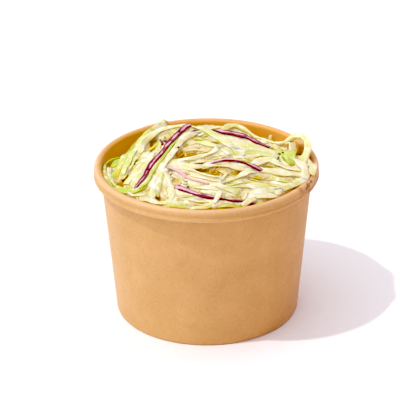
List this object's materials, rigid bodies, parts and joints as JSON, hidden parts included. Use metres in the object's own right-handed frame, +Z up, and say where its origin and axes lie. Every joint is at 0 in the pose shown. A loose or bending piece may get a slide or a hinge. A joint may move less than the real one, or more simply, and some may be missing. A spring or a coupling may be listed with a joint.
{
  "type": "coleslaw",
  "caption": "Coleslaw of shredded white and red cabbage in a creamy dressing, heaped in a round tapered kraft-paper pot with a rolled rim.",
  "frame": {"origin": "middle of the pot's foot, on the surface that it stands on", "axes": "+Z up along the pot's axis, -Y to the front, +X to the right"},
  "size_m": [0.09, 0.09, 0.0677],
  "materials": {
    "kraft_paper": "matt uncoated brown kraft outside, greaseproof film inside",
    "white_cabbage": "moist, cut, cream to pale green, coated with dressing",
    "red_cabbage": "moist, cut, deep magenta skin over mauve flesh",
    "dressing": "wet, creamy white mayonnaise dressing"
  },
  "bodies": {
    "root": {"cup_sidewall": "kraft_paper", "cup_base": "kraft_paper", "coleslaw": "white_cabbage"}
  },
  "joints": []
}
